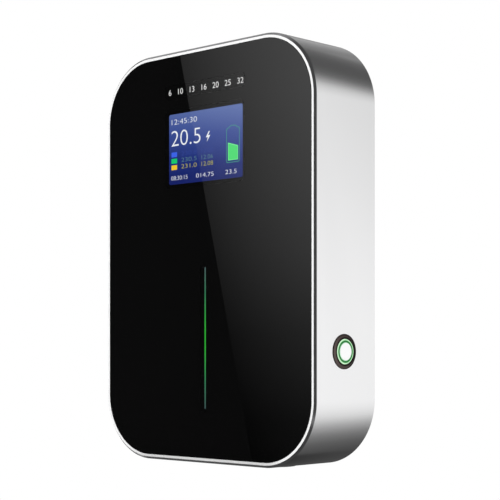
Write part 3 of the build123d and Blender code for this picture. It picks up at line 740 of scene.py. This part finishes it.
skyFinish = rampFinish("screenGlow", dict(
    middle=(0, 0, screen["middleZ"] - screen["height"] / 2), along=(picture["skyLean"], 0, 1),
    start=-picture["skyMargin"], end=screen["height"] + picture["skyMargin"], stops=picture["sky"], rough=0.5,
))
whiteLight = litFinish("whiteLight", linear(236, 240, 246))
skyMesh = sheetMesh("screenField", [screenOutline()], picture["depth"], skyFinish)
addPiece("screenField", skyMesh, "housing")
shapes = []
for words, size, across, down, width in (picture["clock"], picture["power"]):
    shapes.append(pictureText(words, size, across, down, width, whiteLight))
for words, across, width in picture["foot"]:
    shapes.append(pictureText(words, picture["rowSize"], across, picture["footLine"], width, whiteLight))
for number, (top, bottom, colour, figureColour, first, second) in enumerate(picture["rows"]):
    field = litFinish("rowField%d" % number, colour)
    figureLight = litFinish("rowFigures%d" % number, figureColour)
    left, right = picture["squares"]
    shapes.append(pictureSheet("rowField", [boxOutline(left, right, top, bottom)], field))
    line = bottom - picture["rowRise"]
    for words, (across, width) in zip((first, second), picture["rowFigures"]):
        shapes.append(pictureText(words, picture["rowSize"], across, line, width, figureLight))
shapes.append(pictureSheet("bolt", [placed(picture["bolt"])], whiteLight))
cellLines = [placed(outline) for outline in cellOutlines()]
shapes.append(pictureSheet("cellLine", cellLines, litFinish("cellLine", picture["cellLine"])))
cellGlow = litFinish("cellFill", picture["cellFill"])
cellRimGlow = litFinish("cellEdge", picture["cellEdge"])
shapes.append(pictureSheet("cellEdge", [placed(picture["charge"])], cellRimGlow))
shapes.append(pictureSheet("cellFill", [placed(picture["chargeInside"])], cellGlow, picture["fillLift"]))
addPiece("screenShapes", joinMeshes("screenShapes", shapes), "housing")

lineReach = 52.6  # from the light line's middle to where its colours end
lineFinish = rampFinish("greenLine", dict(
    middle=(0, 0, lineMiddle), along=(0, 0, 1), start=-lineReach, end=lineReach, rough=0.4,
    stops=[
        (0.0, linear(60, 84, 84)), (0.18, linear(50, 120, 84)), (0.42, linear(44, 178, 52)),
        (0.58, linear(44, 178, 52)), (0.82, linear(50, 120, 84)), (1.0, linear(70, 92, 92)),
    ],
))
lineMesh = sheetMesh("greenLine", [lineOutline()], pane["printBack"] - pane["lightLift"], lineFinish)
addPiece("greenLine", lineMesh, "housing")
print("screen and light line made")


# push-button: turned head, lit ring and cap about the axis in the right side

button = dict(
    middle=band["buttonMiddle"],
    head=[
        (9, -0.9), (9, 0.95), (9.05, 1.06), (9.16, 1.1), (9.85, 1.1), (10.15, 1.06), (12.25, 0.58),
        (12.44, 0.46), (12.5, 0.3), (12.5, 0), (12, 0), (12, 0.3), (11, 0.3), (11, -26), (9.6, -26),
        (9.6, -0.9),
    ],
    ring=[
        (0, 0), (6.55, 0), (6.55, 1.12), (6.62, 1.2), (8.55, 1.2), (8.66, 1.15), (8.7, 1.04), (8.7, -0.95),
        (9.3, -0.95), (9.3, -3.95), (4, -3.95), (4, -15.45), (0, -15.45),
    ],
    cap=[(0, 0), (6.5, 0), (6.5, 1.2), (6.2, 1.5), (6, 1.5), (0, 1.5)],
)
axisToRight = Matrix(((0, 0, 1, 0), (1, 0, 0, 0), (0, 1, 0, 0), (0, 0, 0, 1)))
buttonPlace = Matrix.Translation(Vector(button["middle"]) * mm) @ axisToRight
aboutAxis = dict(middle=button["middle"], along=(0, 1, 1), radial=True)
ringFinish = rampFinish("greenRing", dict(
    aboutAxis, start=6.5, end=8.7, rough=0.2, specular=0.15,
    stops=[
        (0.0, linear(40, 140, 70)), (0.1, linear(6, 112, 34)), (0.62, linear(12, 122, 42)),
        (0.74, linear(190, 246, 192)), (1.0, linear(206, 246, 204)),
    ],
))
# painted reflection: the head's colour is darkened to near black at its mouth and brightened on its flange,
# ring by ring outward from the axis
headFinish = grainFinish("darkChrome", dict(
    colour=(0.11, 0.09, 0.085), metal=1.0, rough=0.14, grain=0.6, tone=0.1, bump=0.05,
    ramp=dict(aboutAxis, start=9, end=12.5, stops=[
        (0.0, (0.06, 0.05, 0.05)), (0.3, (0.12, 0.1, 0.1)), (0.46, (0.9, 0.84, 0.8)), (0.86, (1, 0.96, 0.94)),
        (1.0, (0.5, 0.5, 0.5)),
    ]),
))
# painted light: the cap's colour turns green towards its edge, a painted glow from the lit ring beside it
capFinish = grainFinish("brightSteel", dict(
    colour=(0.70, 0.70, 0.70), metal=0.35, rough=0.3, grain=0.5, tone=0.02, bump=0.05,
    ramp=dict(aboutAxis, start=4, end=6.5, stops=[
        (0.0, (1, 1, 1)), (0.68, (1, 1, 1)), (0.84, (0.86, 1, 0.9)), (1.0, (0.45, 0.9, 0.55)),
    ]),
))
slotFinish.update(green_lens=ringFinish, dark_chrome=headFinish, bright_steel=capFinish)
buttonMesh = turnedMesh("buttonHead", button["head"], buttonPlace, headFinish)
addPiece("buttonHead", buttonMesh, "housing", ["button_bezel"])
buttonMesh = turnedMesh("buttonRing", button["ring"], buttonPlace, ringFinish)
addPiece("buttonRing", buttonMesh, "button", ["button_plunger"])
buttonMesh = turnedMesh("buttonCap", button["cap"], buttonPlace, capFinish)
addPiece("buttonCap", buttonMesh, "button", ["button_cap"])
print("push-button made")


# cable entries: turned rubber rings in the underside

entry = dict(
    places=band["entryMiddles"],
    ring=[
        (8.5, -0.6), (8.68, -1.02), (9.1, -1.2), (15.4, -1.2), (15.82, -1.02), (16, -0.6), (16, 0), (12.9, 0),
        (12.9, 3), (16, 3), (11, 4.2), (11, 10.2), (8.5, 10.2),
    ],
)
rings = []
for middle in entry["places"]:
    entryPlace = Matrix.Translation(Vector(middle) * mm)
    rings.append(turnedMesh("entryRing", entry["ring"], entryPlace, slotFinish["black_rubber"]))
addPiece("entryRings", joinMeshes("entryRings", rings), "housing", ["cable_grommets"])


# screws: one head and shank, set at each place

screws = {
    "cover_screws": dict(
        places=edgePlaces(band["coverScrewInset"]), at=-8, across=7, head=2.4, radius=2, grip=7,
    ),
    "carrier_screws": dict(
        places=edgePlaces(band["carrierScrewInset"]), at=-64.5, across=5.5, head=2, radius=1.5, grip=5,
    ),
}
screwShape = dict(sides=6, shankSteps=32, topShare=0.94)


def screwTree(material):
    tree, given, result = newTree("screwSet", (
        ("Places", "Object"), ("Corner Radius", "Float"), ("Head", "Float"), ("Shank Radius", "Float"),
        ("Grip", "Float"),
    ))
    places = addNode(tree, "GeometryNodeObjectInfo")
    setOn = addNode(tree, "GeometryNodeInstanceOnPoints")
    both = addNode(tree, "GeometryNodeJoinGeometry")
    whole = addNode(tree, "GeometryNodeRealizeInstances")
    finish = addNode(tree, "GeometryNodeSetMaterial")
    setInput(finish, "Material", material)
    head = addNode(tree, "GeometryNodeMeshCone")
    setInput(head, "Vertices", screwShape["sides"])
    shank = addNode(tree, "GeometryNodeMeshCylinder")
    setInput(shank, "Vertices", screwShape["shankSteps"])
    lower = addNode(tree, "GeometryNodeTransform")
    drop = addNode(tree, "ShaderNodeMath", operation="MULTIPLY")
    drop.inputs[1].default_value = -0.5  # the shank's middle is half its length below the head
    dropPlace = addNode(tree, "ShaderNodeCombineXYZ")
    topRadius = addNode(tree, "ShaderNodeMath", operation="MULTIPLY")
    topRadius.inputs[1].default_value = screwShape["topShare"]
    linkNodes(
        tree,
        (given.outputs["Places"], places.inputs["Object"]),
        (places.outputs["Geometry"], setOn.inputs["Points"]),
        (given.outputs["Corner Radius"], head.inputs["Radius Bottom"]),
        (given.outputs["Corner Radius"], topRadius.inputs[0]),
        (topRadius.outputs[0], head.inputs["Radius Top"]),
        (given.outputs["Head"], head.inputs["Depth"]),
        (given.outputs["Shank Radius"], shank.inputs["Radius"]),
        (given.outputs["Grip"], shank.inputs["Depth"]),
        (given.outputs["Grip"], drop.inputs[0]),
        (drop.outputs[0], dropPlace.inputs["Z"]),
        (dropPlace.outputs["Vector"], lower.inputs["Translation"]),
        (shank.outputs["Mesh"], lower.inputs["Geometry"]),
        (head.outputs["Mesh"], both.inputs["Geometry"]),
        (lower.outputs["Geometry"], both.inputs["Geometry"]),
        (both.outputs["Geometry"], setOn.inputs["Instance"]),
        (setOn.outputs["Instances"], whole.inputs["Geometry"]),
        (whole.outputs["Geometry"], finish.inputs["Geometry"]),
        (finish.outputs["Geometry"], result.inputs["Geometry"]),
    )
    return tree


tree = screwTree(slotFinish["zinc_steel"])
for nodeName, sizes in screws.items():
    points = bpy.data.meshes.new("screwPlaces")
    points.from_pydata([(x * mm, -z * mm, 0) for x, z in sizes["places"]], [], [])
    placeHolder = addObject("screwPlaces", points)
    mesh = grown(camelName(nodeName), tree, {
        "Places": placeHolder,
        "Corner Radius": sizes["across"] / 2 / math.cos(math.pi / screwShape["sides"]) * mm,
        "Head": sizes["head"] * mm, "Shank Radius": sizes["radius"] * mm, "Grip": sizes["grip"] * mm,
    })
    bpy.data.objects.remove(placeHolder)
    mesh.transform(Matrix.Translation((0, sizes["at"] * mm, 0)) @ Matrix.Rotation(math.radians(-90), 4, "X"))
    smoothByAngle(mesh, degrees=30)
    addPiece(camelName(nodeName), mesh, "housing", [nodeName])
print("screws made")


# smooth copies of the round outer nodes, and the button's spring

def smoothCopy(nodeName, angle=25):
    node = nodes[nodeName]
    slotName = node.material_slots[0].material.name
    mesh = node.data.copy()
    mergeMesh(mesh)
    setFinish(mesh, slotFinish[slotName])
    smoothByAngle(mesh, angle)
    return addPiece(camelName(nodeName), mesh, "housing", [nodeName])


for nodeName in ("rear_cover", "wall_bracket", "hanging_studs", "lock_screw", "button_nut", "button_seal"):
    smoothCopy(nodeName)
spring = smoothCopy("button_spring", angle=40)
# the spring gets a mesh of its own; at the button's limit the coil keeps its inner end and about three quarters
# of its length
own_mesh(spring)

for node in nodes.values():
    slotName = node.material_slots[0].material.name
    if slotName in slotFinish:
        node.material_slots[0].material = slotFinish[slotName]
print("nodes finished")


# studio: pale floor, light from all round, a large panel for the glass to reflect and cards for the band

view = dict(
    place=(0.74436, -0.80312, -0.06819), turn=43.6817, lens=101.067, sensor=36, shiftUp=0.19245, near=0.01,
)
camera = addObject("camera", bpy.data.cameras.new("camera"))
camera.location = view["place"]
camera.rotation_euler = (math.radians(90), 0, math.radians(view["turn"]))
camera.data.lens = view["lens"]
camera.data.sensor_width = view["sensor"]
camera.data.shift_y = view["shiftUp"]
camera.data.clip_start = view["near"]
bpy.context.scene.camera = camera
bpy.context.scene.view_settings.view_transform = "Standard"

# round is the tone by the angle about the depth axis, and depth the gain from the front to the back;
# a spot is a direction, its inner and outer angle and its tone, and a negative tone shades
studio = dict(
    diffuse=1.52, backdrop=1.0, front=0.05,
    depth=[
        (-1, 0.0), (-0.45, 0.0), (-0.25, 0.5), (0.05, 0.68), (0.26, 1.1), (0.45, 1.06), (0.6, 0.95),
        (0.86, 0.95), (0.95, 0.12), (1, 0.06),
    ],
    round=[
        (-152, 0.60), (-140, 0.06), (-128, 0.022), (-112, 0.018), (-96, 0.032), (-78, 0.07), (-60, 0.17),
        (-44, 0.40), (-30, 0.74), (-18, 0.90), (-6, 0.98), (2, 1.02), (12, 0.81), (20, 0.74), (28, 0.60),
        (36, 0.28), (46, 0.06), (60, 0.015), (76, 0.02), (94, 0.08), (107, 0.30), (117, 0.42), (126, 0.22),
        (134, 0.30), (141, 0.34), (147, 0.07), (164, 0.05), (171, 0.50), (180, 0.62),
    ],
    spots=[
        ((0.73, -0.52, -0.45), 6, 19, 0.85), ((-0.62, -0.62, -0.48), 8, 22, 0.75),
        ((-0.905, 0.27, -0.30), 10, 18, -0.5),
    ],
)


def makeWorld():
    world = bpy.data.worlds.new("studio")
    world.use_nodes = True
    tree = world.node_tree
    tree.nodes.clear()
    result = addNode(tree, "ShaderNodeOutputWorld")
    coords = addNode(tree, "ShaderNodeTexCoord")
    parts = addNode(tree, "ShaderNodeSeparateXYZ")
    turn = addNode(tree, "ShaderNodeMath", operation="ARCTAN2")
    share = spanNode(tree, -math.pi, math.pi)
    tones = addNode(tree, "ShaderNodeValToRGB")
    stops = [(angle / 360 + 0.5, tone) for angle, tone in studio["round"]]
    stops.insert(0, (0.0, studio["round"][-1][1]))
    fillRamp(tones, greys(stops))
    depth = spanNode(tree, -1.0, 1.0)
    gains = addNode(tree, "ShaderNodeValToRGB")
    fillRamp(gains, greys([(place / 2 + 0.5, gain) for place, gain in studio["depth"]]))
    glossy = addNode(tree, "ShaderNodeMath", operation="MULTIPLY_ADD")
    glossy.inputs[2].default_value = studio["front"]
    glow = glossy.outputs[0]
    for direction, inner, outer, tone in studio["spots"]:
        facing = addNode(tree, "ShaderNodeVectorMath", operation="DOT_PRODUCT")
        facing.inputs[1].default_value = Vector(direction).normalized()
        rim, core = math.cos(math.radians(outer)), math.cos(math.radians(inner))
        spot = spanNode(tree, rim, core, high=tone, interpolation_type="SMOOTHSTEP")
        total = addNode(tree, "ShaderNodeMath", operation="ADD")
        linkNodes(
            tree,
            (coords.outputs["Generated"], facing.inputs[0]),
            (facing.outputs["Value"], spot.inputs["Value"]),
            (glow, total.inputs[0]),
            (spot.outputs["Result"], total.inputs[1]),
        )
        glow = total.outputs[0]
    path = addNode(tree, "ShaderNodeLightPath")
    notGlossy = addNode(tree, "ShaderNodeMix", data_type="FLOAT")
    notGlossy.inputs[2].default_value = studio["diffuse"]
    notSeen = addNode(tree, "ShaderNodeMix", data_type="FLOAT")
    notSeen.inputs[3].default_value = studio["backdrop"]
    light = addNode(tree, "ShaderNodeBackground")
    setInput(light, "Color", (1, 1, 1, 1))
    linkNodes(
        tree,
        (coords.outputs["Generated"], parts.inputs["Vector"]),
        (parts.outputs["Z"], turn.inputs[0]),
        (parts.outputs["X"], turn.inputs[1]),
        (turn.outputs[0], share.inputs["Value"]),
        (share.outputs["Result"], tones.inputs["Fac"]),
        (parts.outputs["Y"], depth.inputs["Value"]),
        (depth.outputs["Result"], gains.inputs["Fac"]),
        (tones.outputs["Color"], glossy.inputs[0]),
        (gains.outputs["Color"], glossy.inputs[1]),
        (path.outputs["Is Glossy Ray"], notGlossy.inputs["Factor"]),
        (glow, notGlossy.inputs[3]),
        (path.outputs["Is Camera Ray"], notSeen.inputs["Factor"]),
        (notGlossy.outputs[0], notSeen.inputs[2]),
        (notSeen.outputs[0], light.inputs["Strength"]),
        (light.outputs["Background"], result.inputs["Surface"]),
    )
    bpy.context.scene.world = world


# the panel as the eye sees it in the glass: its left edge leans by lean over edgeTall
panel = dict(
    bottom=-0.20, tall=0.40, right=0.125, edgeX=-0.025, edgeTop=0.1497, lean=0.062, edgeTall=0.2497,
    depth=-0.6572, far=1.8, rows=20, columns=12, across=(0.28, 1.12),
    up=[(-0.20, 0.04), (-0.12, 0.11), (-0.06, 0.335), (0.0, 0.74), (0.045, 0.96), (0.112, 1.22), (0.20, 1.40)],
)


def makePanel():
    # its left edge shows in the glass as the slanted line, and it grows brighter up and to the right
    shape = bmesh.new()
    coat = shape.loops.layers.uv.new("UVMap")
    eye, far, rows, columns = camera.location, panel["far"], panel["rows"], panel["columns"]
    grid = []
    for row in range(rows + 1):
        z = panel["bottom"] + panel["tall"] * row / rows
        edge = panel["edgeX"] + panel["lean"] * (panel["edgeTop"] - z) / panel["edgeTall"]
        line = []
        for column in range(columns + 1):
            x = edge + (panel["right"] - edge) * column / columns
            place = (eye.x + (x - eye.x) * far, panel["depth"], eye.z + (z - eye.z) * far)
            line.append((shape.verts.new(place), (column / columns, row / rows)))
        grid.append(line)
    for row in range(rows):
        for column in range(columns):
            low, high = grid[row], grid[row + 1]
            corners = (low[column], low[column + 1], high[column + 1], high[column])
            face = shape.faces.new([corner[0] for corner in corners])
            for loop, corner in zip(face.loops, corners):
                loop[coat].uv = corner[1]
    mesh = meshFrom(shape, "softPanel")
    material = bpy.data.materials.new("softPanel")
    material.use_nodes = True
    tree = material.node_tree
    tree.nodes.clear()
    result = addNode(tree, "ShaderNodeOutputMaterial")
    coords = addNode(tree, "ShaderNodeUVMap", uv_map="UVMap")
    parts = addNode(tree, "ShaderNodeSeparateXYZ")
    up = addNode(tree, "ShaderNodeValToRGB")
    fillRamp(up, greys([((z - panel["bottom"]) / panel["tall"], tone) for z, tone in panel["up"]]))
    across = spanNode(tree, 0.0, 1.0, *panel["across"])
    power = addNode(tree, "ShaderNodeMath", operation="MULTIPLY")
    light = addNode(tree, "ShaderNodeEmission")
    linkNodes(
        tree,
        (coords.outputs["UV"], parts.inputs["Vector"]),
        (parts.outputs["X"], across.inputs["Value"]),
        (parts.outputs["Y"], up.inputs["Fac"]),
        (across.outputs["Result"], power.inputs[0]),
        (up.outputs["Color"], power.inputs[1]),
        (power.outputs[0], light.inputs["Strength"]),
        (light.outputs["Emission"], result.inputs["Surface"]),
    )
    mesh.materials.append(material)
    sheet = addObject("softPanel", mesh)
    sheet.visible_camera = False
    sheet.visible_shadow = False
    sheet.visible_diffuse = False
    return sheet


def makeCard(name, corners, low, high, along="Z", flag=False):
    # a plain card that only reflections show, with a tone at each end of one axis; a flag only shades
    mesh = bpy.data.meshes.new(name)
    mesh.from_pydata(corners, [], [(0, 1, 2, 3)])
    material, tree, shader = newMaterial(name)
    coords = addNode(tree, "ShaderNodeTexCoord")
    parts = addNode(tree, "ShaderNodeSeparateXYZ")
    ends = [corner["XYZ".index(along)] for corner in corners]
    span = spanNode(tree, min(ends), max(ends), low, high)
    setInput(shader, "Base Color", (0, 0, 0, 1))
    setInput(shader, "Specular IOR Level", 0.0)
    setInput(shader, "Emission Color", (1, 1, 1, 1))
    linkNodes(
        tree,
        (coords.outputs["Object"], parts.inputs["Vector"]),
        (parts.outputs[along], span.inputs["Value"]),
        (span.outputs["Result"], shader.inputs["Emission Strength"]),
    )
    mesh.materials.append(material)
    card = addObject(name, mesh)
    card.visible_camera = False
    card.visible_glossy = not flag
    card.visible_shadow = flag
    card.visible_diffuse = flag
    return card


ground = dict(z=-1.3, size=6, parts=4, glow=0.5)


def makeFloor():
    shape = bmesh.new()
    bmesh.ops.create_grid(shape, x_segments=ground["parts"], y_segments=ground["parts"], size=ground["size"])
    mesh = meshFrom(shape, "floor")
    mesh.transform(Matrix.Translation((0, 0, ground["z"])))
    material = grainFinish("paleFloor", dict(colour=(0.9, 0.9, 0.9), rough=0.8, grain=4, tone=0.01, bump=0.02))
    shader = material.node_tree.nodes["Principled BSDF"]
    setInput(shader, "Emission Color", (1, 1, 1, 1))
    setInput(shader, "Emission Strength", ground["glow"])
    mesh.materials.append(material)
    floor = addObject("floor", mesh)
    floor.visible_glossy = False
    return floor


cards = dict(
    back=[(-0.36, 0.3, -0.75), (0.02, 0.3, -0.75), (0.02, 0.3, 0.1), (-0.36, 0.3, 0.1)],
    corner=[(-0.16, 0.3, 0.1), (0.02, 0.3, 0.1), (0.02, 0.3, 0.6), (-0.16, 0.3, 0.6)],
    top=[(-1.1, -0.75, 0.78), (-0.45, -0.75, 0.78), (-0.45, -0.1, 0.95), (-1.1, -0.1, 0.95)],
    low=[
        (-0.075, -0.0745, -0.158), (0.075, -0.0745, -0.158), (0.075, -0.0885, -0.158),
        (-0.075, -0.0885, -0.158),
    ],
)


makeWorld()
backCard = makeCard("backCard", cards["back"], low=0.0, high=0.14)
cornerCard = makeCard("cornerCard", cards["corner"], low=0.40, high=0.17, along="X")
topCard = makeCard("topCard", cards["top"], low=0.3, high=0.3)
lowFlag = makeCard("lowFlag", cards["low"], low=0, high=0, flag=True)
makePanel()
makeFloor()
print("studio made")
